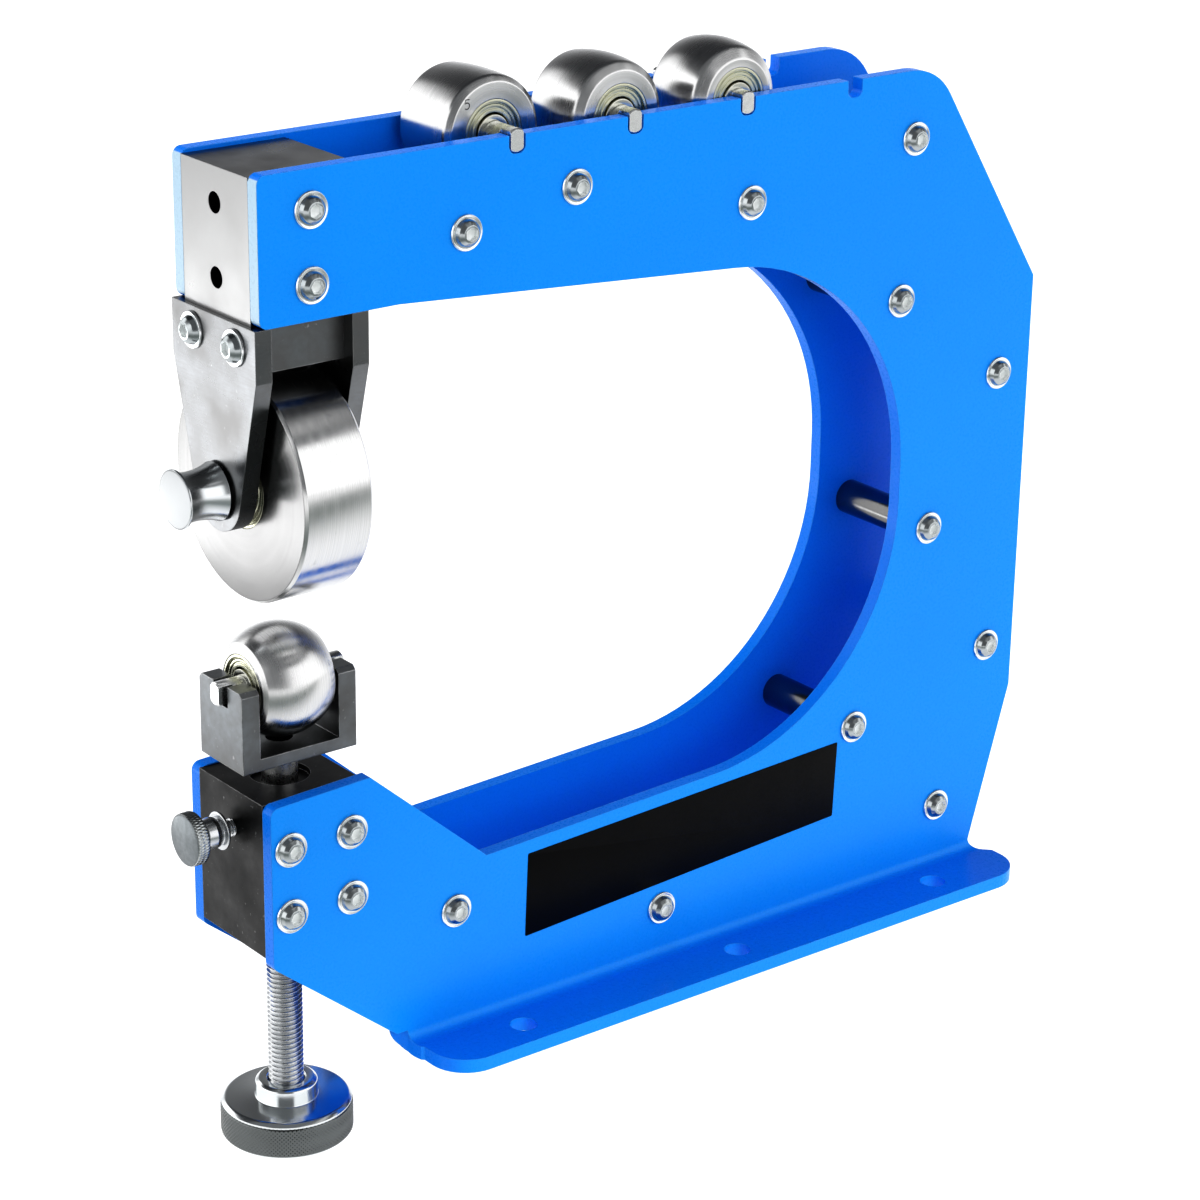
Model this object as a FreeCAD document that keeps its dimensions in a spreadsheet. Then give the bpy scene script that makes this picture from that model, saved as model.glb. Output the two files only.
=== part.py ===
import FreeCAD, Part
import os
import Sketcher

# Benchtop english wheel. Origin: middle of the six bench holes, on the underside of the bench
# flanges. +Z is up, the noses of the frame point along -X, and the front plate is on the -Y side.
# Frame sizes are measured from the noses (along X) and from the bench (along Z), in millimetres.

os.makedirs("parts", exist_ok=True)
doc = FreeCAD.newDocument("english_wheel")
sheet = doc.addObject("Spreadsheet::Sheet", "dims")

DRIVING = {
    # Bent side plates
    "bench": 0,
    "nose_reach": 187,
    "plate_gap": 38.1,
    "plate_thickness": 5,
    "bend_radius": 4,
    "arm_top": 311.5,
    "arm_bottom": 263.7,
    "arm_seat": 51.3,
    "arm_fall": 15.6,
    "throat_back": 268.5,
    "throat_straight": 13,
    "throat_floor": 65.3,
    "throat_rise": 7.3,
    "valley_reach": 85.5,
    "saddle_reach": 38.5,
    "saddle_low": 104.6,
    "saddle_high": 106.2,
    "chin_height": 47.9,
    "toe_reach": 48.2,
    "heel_reach": 313.1,
    "back_reach": 330.1,
    "back_low": 69.2,
    "back_high": 229.1,
    "shoulder_reach": 277.5,
    "shoulder_radius": 22,
    "nose_radius": 3,
    # Bench flanges and their holes
    "flange_width": 25,
    "flange_overhang": 6.7,
    "flange_corner": 14,
    "bench_hole": 9.5,
    "bench_pitch": 95.5,
    "bench_rows": 75,
    # Rods between the plates: offsets of each from the features that RODS names
    "rod1_along": -20.0,
    "rod1_up": -28.6,
    "rod2_along": 23.7,
    "rod2_up": -20.0,
    "rod3_along": 97.7,
    "rod3_up": -36.0,
    "rod4_along": -9.1,
    "rod4_up": -24.0,
    "rod5_along": -3.6,
    "rod5_up": 0.9,
    "rod6_along": -15.3,
    "rod6_up": -34.3,
    "rod7_along": 15.2,
    "rod7_up": 72.3,
    "rod8_along": -13.8,
    "rod8_up": 19.0,
    "rod9_along": -17.6,
    "rod9_up": 5.9,
    "rod10_along": -18.4,
    "rod10_up": 28.3,
    "rod11_along": 76.6,
    "rod11_up": -41.7,
    "rod12_along": -12.9,
    "rod12_up": -16.9,
    # Rods and the screws that hold the frame together
    "spacer_diameter": 12.7,
    "screw_diameter": 6,
    "screw_hole": 6.6,
    "screw_length": 14,
    "tapped_spare": 1.5,
    "head_flange": 12.2,
    "head_flange_height": 1,
    "head_dome": 10,
    "head_crown": 6,
    "head_height": 3.4,
    "head_socket": 4,
    "head_socket_depth": 2,
    # Blocks in the two noses
    "block_length": 38.1,
    "block_drop": 1.3,
    "block_screw_pitch": 23.6,
    "nose_tap": 6.8,
    "nose_tap_depth": 12,
    "chin_block_low": 50,
    "chin_block_high": 104.4,
    # Upper yoke and wheel
    "axis_drop": 57.3,
    "wheel_diameter": 76.2,
    "wheel_width": 25.4,
    "wheel_chamfer": 1.2,
    "cheek_thickness": 6,
    "cheek_gap": 29.6,
    "cheek_side": 17,
    "cheek_end_radius": 13.2,
    "yoke_block_height": 15.5,
    "cheek_screw_pitch": 24.4,
    "mount_screw_pitch": 18,
    "mount_head": 10,
    "mount_head_height": 6,
    "mount_head_recess": 6.6,
    "mount_screw_reach": 7,
    "pin_diameter": 12,
    "pin_tail": 3,
    "spool_diameter": 19.4,
    "spool_shoulder": 17,
    "spool_hollow": 22,
    "spool_length": 15.6,
    "spool_lip": 1.1,
    "spool_gap": 0.9,
    "pin_seat": 6,
    "big_bearing_outer": 28,
    "big_bearing_width": 8,
    "big_bearing_race": 17,
    # Anvils, their bearings and axles
    "anvil_diameter": 38.1,
    "anvil_width": 24,
    "anvil_bore": 16,
    "anvil_edge": 2,
    "bearing_outer": 22,
    "bearing_width": 7,
    "bearing_race": 12,
    "axle_diameter": 8,
    "axle_length": 50,
    "axle_flats": 5,
    "axle_flat_length": 12,
    "lower_axis": 138,
    "slot_width": 6.4,
    "slot_depth": 6,
    "slot_corner": 2.5,
    "slot_reach": 96.9,
    "slot_pitch": 47.5,
    # Lower yoke, its stem and the adjusting screw
    "yoke_length": 43.6,
    "yoke_width": 25.4,
    "yoke_cheek": 6.65,
    "yoke_high": 141.3,
    "yoke_low": 113.3,
    "yoke_floor": 4.2,
    "yoke_chamfer": 3,
    "yoke_notch": 5.5,
    "stem_diameter": 12,
    "stem_spigot": 9,
    "stem_low": 74,
    "thread_diameter": 12,
    "counterbore": 20,
    "counterbore_depth": 2,
    "collar_top": -7.9,
    "collar_diameter": 21.2,
    "collar_height": 6.5,
    "hand_knob": 45.2,
    "hand_knob_height": 14,
    "hand_knob_chamfer": 2,
    "knob_bore_depth": 16,
    "grub_diameter": 5,
    "grub_socket": 2.5,
    # Lock thumbscrew and its pad
    "lock_height": 90,
    "lock_thread": 6,
    "lock_pad": 4,
    "lock_gap": 4,
    "lock_flange": 13,
    "lock_flange_thickness": 1.2,
    "lock_hub": 10.8,
    "lock_hub_length": 9.1,
    "lock_head": 18,
    "lock_head_length": 4.8,
    # Clearances
    "running_gap": 0.04,
    "stem_gap": 0.05,
    "seat_gap": 0.05,
    "race_gap": 0.35,
}

# Features that each spacer rod is placed from, along the frame and up; dims holds its offsets
RODS = [
    ("slot_reach", "arm_top"), ("slot_reach", "arm_top"), ("slot_reach", "arm_top"),
    ("shoulder_reach", "arm_top"), ("throat_back", "back_high"), ("back_reach", "back_high"),
    ("throat_back", "back_low"), ("back_reach", "back_low"), ("throat_back", "throat_floor"),
    ("heel_reach", "bench"), ("valley_reach", "throat_floor"), ("valley_reach", "throat_floor"),
]

# Anvils: where each one sits, the radius of its crown, and how far it has slid along its axle
ANVILS = {
    "working": (None, 18.8, 0),
    "spare_a": (0, 150, 3.5),
    "spare_b": (1, 48, -2.5),
    "spare_c": (2, 75, -5),
}

cells = dict(DRIVING)
for anvil, (slot, crown, slide) in ANVILS.items():
    cells["crown_" + anvil] = crown
    cells["slide_" + anvil] = slide
for row, (alias, number) in enumerate(cells.items(), 1):
    sheet.set("A%d" % row, alias)
    sheet.set("B%d" % row, str(number))
    sheet.setAlias("B%d" % row, alias)
doc.recompute()

parts = []

AXIS = "(dims.block_length / 2)"
UPPER_AXIS = "(dims.arm_bottom - dims.axis_drop)"
SLOT_FLOOR = "(dims.arm_top - dims.slot_depth)"
HALF_GAP = "(dims.plate_gap / 2)"
CHEEK_OUT = "(dims.cheek_gap / 2 + dims.cheek_thickness)"
WHEEL_HALF = "(dims.wheel_width / 2)"
TURN_TO_Y = FreeCAD.Rotation(FreeCAD.Vector(0, 0, 1), 90)
TURN_TO_Z = FreeCAD.Rotation(FreeCAD.Vector(0, 1, 0), -90)
UPRIGHT = FreeCAD.Rotation()
TO_FRONT = FreeCAD.Rotation(FreeCAD.Vector(1, 0, 0), 90)
TO_BACK = FreeCAD.Rotation(FreeCAD.Vector(1, 0, 0), -90)
TO_NOSE = FreeCAD.Rotation(FreeCAD.Vector(0, 1, 0), -90)
TO_REAR = FreeCAD.Rotation(FreeCAD.Vector(0, 1, 0), 90)


def size(expression):
    """Value of an expression in the sheet's sizes."""
    return float(sheet.evalExpression(str(expression)))


def place(item, label, x="0", y="0", z="0", rotation=UPRIGHT):
    """Name a sub-part and put it in the frame, x measured from the noses."""
    item.Label = label
    item.Placement = FreeCAD.Placement(FreeCAD.Vector(0, 0, 0), rotation)
    item.setExpression("Placement.Base.x", "%s - dims.nose_reach" % x)
    item.setExpression("Placement.Base.y", str(y))
    item.setExpression("Placement.Base.z", str(z))
    parts.append(item)


def new_body(name):
    return doc.addObject("PartDesign::Body", name)


def new_sketch(body, plane, offset=None):
    """Sketch on one of the body's own planes, moved along that plane's normal."""
    sketch = body.newObject("Sketcher::SketchObject", "Sketch")
    support = [item for item in body.Origin.OriginFeatures if item.Role == plane][0]
    sketch.AttachmentSupport = [(support, "")]
    sketch.MapMode = "FlatFace"
    if offset is not None:
        sketch.setExpression("AttachmentOffset.Base.z", offset)
    return sketch


def bind(sketch, kind, *where):
    """Constraint whose last argument is an expression in the sheet's sizes."""
    expression = str(where[-1])
    constraint = Sketcher.Constraint(kind, *where[:-1], size(expression))
    index = sketch.addConstraint(constraint)
    if "dims." in expression:
        sketch.setExpression("Constraints[%d]" % index, expression)


def arc_through(start, end, radius, side):
    """Minor arc from start to end, its middle on the given side of the chord."""
    chord = end - start
    normal = FreeCAD.Vector(-chord.y, chord.x, 0).normalize()
    depth = (radius ** 2 - (chord.Length / 2) ** 2) ** 0.5
    middle = (start + end) / 2 - normal * depth * side
    bulge = middle + normal * radius * side
    return Part.Arc(start, bulge, end)


def outline(sketch, corners, arcs=None):
    """Closed outline of lines between corners; arcs maps a corner to (radius, side) of its arc."""
    arcs = arcs or {}
    first = sketch.GeometryCount
    points = [FreeCAD.Vector(size(u), size(v), 0) for u, v in corners]
    ends = []
    for index, start in enumerate(points):
        end = points[(index + 1) % len(points)]
        if index in arcs:
            radius, side = arcs[index]
            sketch.addGeometry(arc_through(start, end, size(radius), side), False)
            ends.append((2, 1) if side > 0 else (1, 2))
        else:
            sketch.addGeometry(Part.LineSegment(start, end), False)
            ends.append((1, 2))
    for index in range(len(points)):
        after = (index + 1) % len(points)
        joined = (first + index, ends[index][1], first + after, ends[after][0])
        sketch.addConstraint(Sketcher.Constraint("Coincident", *joined))
    for index, (u, v) in enumerate(corners):
        bind(sketch, "DistanceX", -1, 1, first + index, ends[index][0], u)
        bind(sketch, "DistanceY", -1, 1, first + index, ends[index][0], v)
    for index, (radius, side) in arcs.items():
        bind(sketch, "Radius", first + index, radius)


def circles(sketch, centres, diameter):
    for u, v in centres:
        index = sketch.addGeometry(Part.Circle(FreeCAD.Vector(size(u), size(v), 0),
                                               FreeCAD.Vector(0, 0, 1), size(diameter) / 2), False)
        bind(sketch, "DistanceX", -1, 1, index, 3, u)
        bind(sketch, "DistanceY", -1, 1, index, 3, v)
        bind(sketch, "Diameter", index, diameter)


def pad(body, sketch, length, side="One side"):
    feature = body.newObject("PartDesign::Pad", "Pad")
    feature.Profile = sketch
    feature.setExpression("Length", length)
    feature.SideType = side
    doc.recompute()
    return feature


def cut(body, sketch, depth=None):
    """Pocket that removes material, through everything both ways or to a depth from the sketch."""
    before = body.Shape.Volume
    feature = body.newObject("PartDesign::Pocket", "Pocket")
    feature.Profile = sketch
    if depth is None:
        feature.Type = "ThroughAll"
        feature.SideType = "Symmetric"
    else:
        feature.setExpression("Length", depth)
    doc.recompute()
    if depth is not None and body.Shape.Volume > before - 0.01:
        feature.Reversed = True
        doc.recompute()
    return feature


def drill(body, plane, centres, diameter, depth=None, offset=None):
    sketch = new_sketch(body, plane, offset)
    circles(sketch, centres, diameter)
    return cut(body, sketch, depth)


def edges_of(body, chosen):
    """Names of the straight edges that the test picks by their middle and direction."""
    names = []
    for number, edge in enumerate(body.Shape.Edges, 1):
        if edge.Curve.TypeId == "Part::GeomLine":
            middle = body.Placement.inverse() * edge.CenterOfMass
            run = body.Placement.inverse().Rotation.multVec(edge.tangentAt(edge.FirstParameter))
            if chosen(middle, run):
                names.append("Edge%d" % number)
    return names


def near(value, expression):
    return abs(value - size(expression)) < 0.01


def soften(body, kind, amount, chosen):
    """Fillet or chamfer on the edges that the test picks."""
    base = body.Tip
    feature = body.newObject("PartDesign::" + kind, kind)
    feature.Base = (base, edges_of(body, chosen))
    feature.setExpression("Radius" if kind == "Fillet" else "Size", amount)
    doc.recompute()
    return feature


def turned(name, *outlines):
    """Body turned about its own X axis from outlines of (along the axis, radius)."""
    body = new_body(name)
    body.AllowCompound = len(outlines) > 1
    sketch = new_sketch(body, "XZ_Plane")
    for corners, arcs in outlines:
        outline(sketch, corners, arcs)
    feature = body.newObject("PartDesign::Revolution", "Revolution")
    feature.Profile = sketch
    feature.ReferenceAxis = (sketch, ["H_Axis"])
    feature.Angle = 360
    doc.recompute()
    return body


def bar(inner, outer, low, high):
    """Outline of a round bar or a ring from low to high along its axis."""
    return [(low, inner), (high, inner), (high, outer), (low, outer)], None


def ring_pair(name, inner, outer, near_end, far_end):
    """Two equal rings, one on each side of the middle."""
    return turned(name, bar(inner, outer, near_end, far_end),
                  bar(inner, outer, "-(%s)" % far_end, "-(%s)" % near_end))


def rectangle(left, right, low, high):
    return [(left, low), (right, low), (right, high), (left, high)]


def block(name, plane, left, right, low, high, length, offset=None, side="One side"):
    """Body padded from one rectangle."""
    body = new_body(name)
    sketch = new_sketch(body, plane, offset)
    outline(sketch, rectangle(left, right, low, high))
    pad(body, sketch, length, side)
    return body


def group(label, shapes):
    """Node that holds equal pieces as separate solids."""
    item = doc.addObject("Part::Feature", label)
    item.Shape = Part.makeCompound(shapes)
    place(item, label)


def moved(shape, x, y, z, rotation=UPRIGHT):
    copy = shape.copy()
    copy.Placement = FreeCAD.Placement(FreeCAD.Vector(x, y, z), rotation)
    return copy


# Side plates

def side_plate():
    plate = new_body("side_plate_front")
    web = new_sketch(plate, "XZ_Plane")
    bend_top = "dims.plate_thickness + dims.bend_radius"
    outline(web, [
        ("0", "dims.arm_bottom"), ("0", "dims.arm_top"),
        ("dims.shoulder_reach", "dims.arm_top"), ("dims.back_reach", "dims.back_high"),
        ("dims.back_reach", "dims.back_low"), ("dims.heel_reach", bend_top),
        ("dims.toe_reach", bend_top), ("0", "dims.chin_height"),
        ("0", "dims.saddle_low"), ("dims.saddle_reach", "dims.saddle_high"),
        ("dims.valley_reach", "dims.throat_floor"),
        ("dims.throat_back", "dims.throat_floor + dims.throat_rise"),
        ("dims.throat_back", "dims.arm_bottom - dims.arm_fall"), ("dims.arm_seat", "dims.arm_bottom"),
    ])
    pad(plate, web, "dims.plate_thickness")

    section = new_sketch(plate, "YZ_Plane", "dims.toe_reach")
    inner_bend = "-dims.plate_thickness - dims.bend_radius"
    edge = "-dims.plate_thickness - dims.flange_width"
    outline(section, [
        ("0", bend_top), ("-dims.plate_thickness", bend_top), (inner_bend, "dims.plate_thickness"),
        (edge, "dims.plate_thickness"), (edge, "0"), (inner_bend, "0"),
    ], {1: ("dims.bend_radius", 1), 5: ("dims.bend_radius + dims.plate_thickness", -1)})
    pad(plate, section, "dims.heel_reach + dims.flange_overhang - dims.toe_reach")

    relief = new_sketch(plate, "XY_Plane")
    start = "-dims.plate_thickness"
    turn = "-dims.plate_thickness - dims.flange_overhang"
    past = "-dims.plate_thickness - dims.flange_width - 1"
    toe_end = "dims.toe_reach + dims.flange_overhang"
    outline(relief, [
        ("dims.toe_reach - 1", start), ("dims.toe_reach", start), (toe_end, turn), (toe_end, past),
        ("dims.toe_reach - 1", past),
    ])
    heel_end = "dims.heel_reach + dims.flange_overhang"
    outline(relief, [
        ("dims.heel_reach", "1"), (heel_end + " + 1", "1"), (heel_end + " + 1", turn),
        (heel_end, turn), ("dims.heel_reach", start),
    ])
    cut(plate, relief, bend_top)

    radius = ("(dims.arm_bottom - dims.arm_fall - dims.throat_floor - dims.throat_rise"
              " - dims.throat_straight)"
              " / (tan(45 deg - atan(dims.arm_fall / (dims.throat_back - dims.arm_seat)) / 2)"
              " + tan(45 deg - atan(dims.throat_rise / (dims.throat_back - dims.valley_reach)) / 2))")
    soften(plate, "Fillet", radius,
           lambda middle, run: abs(run.y) > 0.9 and near(middle.x, "dims.throat_back"))
    soften(plate, "Fillet", "dims.shoulder_radius",
           lambda middle, run: abs(run.y) > 0.9 and near(middle.x, "dims.shoulder_reach"))
    soften(plate, "Fillet", "dims.nose_radius",
           lambda middle, run: abs(run.y) > 0.9 and near(middle.x, "0"))
    soften(plate, "Fillet", "dims.flange_corner",
           lambda middle, run: abs(run.z) > 0.9 and near(middle.y, edge))

    row = "-dims.bench_rows / 2 + " + HALF_GAP
    bolts = [("dims.nose_reach + %d * dims.bench_pitch" % step, row) for step in (-1, 0, 1)]
    drill(plate, "XY_Plane", bolts, "dims.bench_hole")
    drill(plate, "XZ_Plane", screw_places(), "dims.screw_hole")

    slots = new_sketch(plate, "XZ_Plane")
    for step in range(4):
        middle = "dims.slot_reach + %d * dims.slot_pitch" % step
        left = middle + " - dims.slot_width / 2"
        right = middle + " + dims.slot_width / 2"
        outline(slots, [
            (left, SLOT_FLOOR), (right, SLOT_FLOOR),
            (right, "dims.arm_top + 1"), (left, "dims.arm_top + 1"),
        ])
    cut(plate, slots)
    soften(plate, "Fillet", "dims.slot_corner",
           lambda middle, run: abs(run.y) > 0.9 and near(middle.z, SLOT_FLOOR))
    place(plate, "side_plate_front", y="-%s" % HALF_GAP)

    mirror = doc.addObject("Part::Mirroring", "side_plate_back")
    mirror.Source = plate
    mirror.Normal = (0, 1, 0)
    mirror.Label = "side_plate_back"
    parts.append(mirror)


def spacer_places():
    return [("dims.%s + dims.rod%d_along" % (reach, number), "dims.%s + dims.rod%d_up" % (height, number))
            for number, (reach, height) in enumerate(RODS, 1)]


def arm_block_places():
    middle = "(dims.arm_bottom + dims.arm_top - dims.block_drop) / 2"
    return [(AXIS, middle + " + %d * dims.block_screw_pitch / 2" % side) for side in (-1, 1)]


def chin_block_places():
    middle = "(dims.chin_block_low + dims.chin_block_high) / 2"
    return [("%s + %d * dims.block_screw_pitch / 2" % (AXIS, across),
             middle + " + %d * dims.block_screw_pitch / 2" % up) for across in (-1, 1) for up in (-1, 1)]


def screw_places():
    return spacer_places() + arm_block_places() + chin_block_places()


# Blocks in the two noses and the rods between the plates

def tap_depth(thickness):
    return "dims.screw_length + dims.tapped_spare - dims.%s" % thickness


def tap_both_sides(body, centres):
    """Tapped holes for the plate screws, from the front face and from the back face."""
    for side in (1, -1):
        drill(body, "XZ_Plane", centres, "dims.screw_diameter", tap_depth("plate_thickness"),
              "%d * %s" % (side, HALF_GAP))


def mount_places():
    return [("%s + %d * dims.mount_screw_pitch / 2" % (AXIS, side), "0") for side in (-1, 1)]


def upper_block():
    body = block("upper_block", "XY_Plane", "0", "dims.block_length", "-" + HALF_GAP, HALF_GAP,
                 "dims.arm_top - dims.block_drop - dims.arm_bottom", "dims.arm_bottom")
    tap_both_sides(body, arm_block_places())
    nose = [("0", height) for reach, height in arm_block_places()]
    drill(body, "YZ_Plane", nose, "dims.nose_tap", "dims.nose_tap_depth")
    drill(body, "XY_Plane", mount_places(), "dims.screw_diameter", "dims.mount_screw_reach + 0.5",
          "dims.arm_bottom")
    place(body, "upper_nose_block")


def lower_block():
    body = block("lower_block", "XY_Plane", "0", "dims.block_length", "-" + HALF_GAP, HALF_GAP,
                 "dims.chin_block_high - dims.chin_block_low", "dims.chin_block_low")
    tap_both_sides(body, chin_block_places())
    drill(body, "XY_Plane", [(AXIS, "0")], "dims.stem_diameter + 2 * dims.stem_gap")
    drill(body, "XY_Plane", [(AXIS, "0")], "dims.counterbore", "dims.counterbore_depth",
          "dims.chin_block_high")
    drill(body, "YZ_Plane", [("0", "dims.lock_height")], "dims.lock_thread + 2 * dims.running_gap",
          AXIS)
    place(body, "lower_nose_block")


def spacer_rods():
    """Round rods, tapped from end to end."""
    gap = size("dims.plate_gap")
    start = FreeCAD.Vector(0, -gap / 2, 0)
    along = FreeCAD.Vector(0, 1, 0)
    rod = Part.makeCylinder(size("dims.spacer_diameter") / 2, gap, start, along)
    rod = rod.cut(Part.makeCylinder(size("dims.screw_diameter") / 2, gap, start, along))
    group("frame_spacers", [moved(rod, size(x), 0, size(z)) for x, z in spacer_places()])


def hexagon(across, low, high):
    """Prism for a socket, with its axis along Z."""
    corner = across / 3 ** 0.5
    points = [FreeCAD.Rotation(FreeCAD.Vector(0, 0, 1), 60 * step).multVec(FreeCAD.Vector(corner, 0, low))
              for step in range(7)]
    return Part.Face(Part.makePolygon(points)).extrude(FreeCAD.Vector(0, 0, high - low))


def button_screw():
    """Button screw with a flange; the flange's underside is at 0 and the head points along +Z."""
    top = size("dims.head_height")
    rim = size("dims.head_flange_height")
    shank = size("dims.screw_diameter") / 2
    flange = size("dims.head_flange") / 2
    length = size("dims.screw_length")
    dome = size("dims.head_dome") / 2
    crown = size("dims.head_crown") / 2
    profile = [(0, -length), (shank, -length), (shank, 0), (flange, 0), (flange, rim),
               (dome, rim), (crown, top), (0, top), (0, -length)]
    wire = Part.makePolygon([FreeCAD.Vector(radius, 0, height) for radius, height in profile])
    solid = Part.Face(wire).revolve(FreeCAD.Vector(0, 0, 0), FreeCAD.Vector(0, 0, 1), 360)
    depth = size("dims.head_socket_depth")
    return solid.cut(hexagon(size("dims.head_socket"), top - depth, top + 1))


def plate_screws():
    screw = button_screw()
    face = size("dims.plate_gap / 2 + dims.plate_thickness")
    for label, y, turn in (("plate_screws_front", -face, TO_FRONT), ("plate_screws_back", face, TO_BACK)):
        group(label, [moved(screw, size(x), y, size(z), turn) for x, z in screw_places()])


# Upper yoke

def yoke_block():
    low = "(dims.arm_bottom - dims.yoke_block_height)"
    body = block("yoke_block", "XY_Plane", "-dims.cheek_gap / 2", "dims.cheek_gap / 2", "-" + HALF_GAP,
                 HALF_GAP, "dims.yoke_block_height", low)
    holes = [("%d * dims.mount_screw_pitch / 2" % side, "0") for side in (-1, 1)]
    drill(body, "XY_Plane", holes, "dims.screw_hole")
    drill(body, "XY_Plane", holes, "dims.mount_head + 0.6", "dims.mount_head_recess", low)
    for side in (1, -1):
        drill(body, "YZ_Plane", cheek_screw_places(), "dims.screw_diameter", tap_depth("cheek_thickness"),
              "%d * dims.cheek_gap / 2" % side)
    place(body, "upper_yoke_block", AXIS)


def cheek_screw_places():
    height = "dims.arm_bottom - dims.yoke_block_height / 2"
    return [("%d * dims.cheek_screw_pitch / 2" % side, height) for side in (-1, 1)]


def cheek(label, x):
    """Side of the upper yoke: straight at the top, then tapered onto a round end about the pin."""
    body = new_body(label)
    sketch = new_sketch(body, "YZ_Plane")
    half = "(%s + dims.plate_thickness)" % HALF_GAP
    knee = "(dims.arm_bottom - dims.cheek_side)"
    rise = "(%s - %s)" % (knee, UPPER_AXIS)
    end = "dims.cheek_end_radius"
    square = "(%s ^ 2 + %s ^ 2)" % (half, rise)
    root = "sqrt(%s - %s ^ 2)" % (square, end)
    across = "(%s ^ 2 * %s + %s * %s * %s) / %s" % (end, half, end, root, rise, square)
    up = "%s + (%s ^ 2 * %s - %s * %s * %s) / %s" % (UPPER_AXIS, end, rise, end, root, half, square)
    outline(sketch, [
        ("-" + half, "dims.arm_bottom"), (half, "dims.arm_bottom"), (half, knee), (across, up),
        ("-(%s)" % across, up), ("-" + half, knee),
    ], {3: (end, 1)})
    pad(body, sketch, "dims.cheek_thickness", "Symmetric")
    drill(body, "YZ_Plane", [("0", UPPER_AXIS)], "dims.pin_diameter + 2 * dims.running_gap")
    drill(body, "YZ_Plane", cheek_screw_places(), "dims.screw_hole")
    place(body, label, x)


def cheek_screws():
    screw = button_screw()
    middle = size(AXIS)
    out = size(CHEEK_OUT)
    copies = []
    for y, z in cheek_screw_places():
        copies.append(moved(screw, middle - out, size(y), size(z), TO_NOSE))
        copies.append(moved(screw, middle + out, size(y), size(z), TO_REAR))
    group("cheek_screws", copies)


def mount_screws():
    """Socket screws that hold the yoke up against the nose block, heads recessed from below."""
    seat = size("dims.arm_bottom - dims.yoke_block_height + dims.mount_head_recess")
    height = size("dims.mount_head_height")
    shank = size("dims.arm_bottom + dims.mount_screw_reach") - seat
    head = Part.makeCylinder(size("dims.mount_head") / 2, height, FreeCAD.Vector(0, 0, -height))
    screw = head.fuse(Part.makeCylinder(size("dims.screw_diameter") / 2, shank))
    screw = screw.cut(hexagon(size("dims.head_socket") + 1, -height - 1, -height / 2))
    group("yoke_mount_screws", [moved(screw, size(x), 0, seat) for x, y in mount_places()])


# Upper wheel, its bearings and its pull pin

PIN_HOLE = "(dims.pin_diameter / 2 + dims.running_gap)"


def upper_wheel():
    bore = "dims.big_bearing_outer / 2"
    middle_bore = "dims.big_bearing_outer / 2 - 2"
    pocket = "(%s - dims.big_bearing_width)" % WHEEL_HALF
    tread = "dims.wheel_diameter / 2"
    shoulder = "%s - dims.wheel_chamfer" % WHEEL_HALF
    face = "dims.wheel_diameter / 2 - dims.wheel_chamfer"
    wheel = turned("upper_wheel", ([
        ("-" + WHEEL_HALF, bore), ("-" + pocket, bore), ("-" + pocket, middle_bore),
        (pocket, middle_bore), (pocket, bore), (WHEEL_HALF, bore), (WHEEL_HALF, face),
        (shoulder, tread), ("-(%s)" % shoulder, tread), ("-" + WHEEL_HALF, face),
    ], None))
    place(wheel, "upper_wheel", AXIS, z=UPPER_AXIS)
    race = "dims.big_bearing_race / 2"
    outer = ring_pair("wheel_bearing_outer", race + " + dims.race_gap", bore, pocket, WHEEL_HALF)
    place(outer, "wheel_bearing_outer_rings", AXIS, z=UPPER_AXIS)
    inner = ring_pair("wheel_bearing_inner", PIN_HOLE, race, pocket, WHEEL_HALF)
    place(inner, "wheel_bearing_inner_rings", AXIS, z=UPPER_AXIS)
    washers = ring_pair("wheel_washers", PIN_HOLE, race, WHEEL_HALF, "dims.cheek_gap / 2")
    place(washers, "wheel_washers", AXIS, z=UPPER_AXIS)


def pull_pin():
    """Pin and spool knob; their own zero is on the outer face of the front cheek."""
    radius = "dims.pin_diameter / 2"
    tail = "(2 * %s + dims.pin_tail)" % CHEEK_OUT
    pin = turned("wheel_pin", ([
        ("-dims.pin_seat", "0"), (tail, "0"), (tail, radius + " - 1"), (tail + " - 1", radius),
        ("-dims.pin_seat", radius),
    ], None))
    place(pin, "wheel_pin", "%s - %s" % (AXIS, CHEEK_OUT), z=UPPER_AXIS)
    end = "dims.spool_diameter / 2"
    spool = turned("pull_knob", ([
        ("-dims.spool_length", "0"), ("-dims.pin_seat", "0"), ("-dims.pin_seat", radius),
        ("-dims.spool_gap", radius), ("-dims.spool_gap", end),
        ("-dims.spool_length + dims.spool_lip", "dims.spool_shoulder / 2"),
        ("-dims.spool_length + dims.spool_lip", end), ("-dims.spool_length", end),
    ], {4: ("dims.spool_hollow", 1)}))
    place(spool, "pull_knob", "%s - %s" % (AXIS, CHEEK_OUT), z=UPPER_AXIS)


# Anvils: each is a crowned roller on two bearings and an axle with flats on its ends

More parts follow.
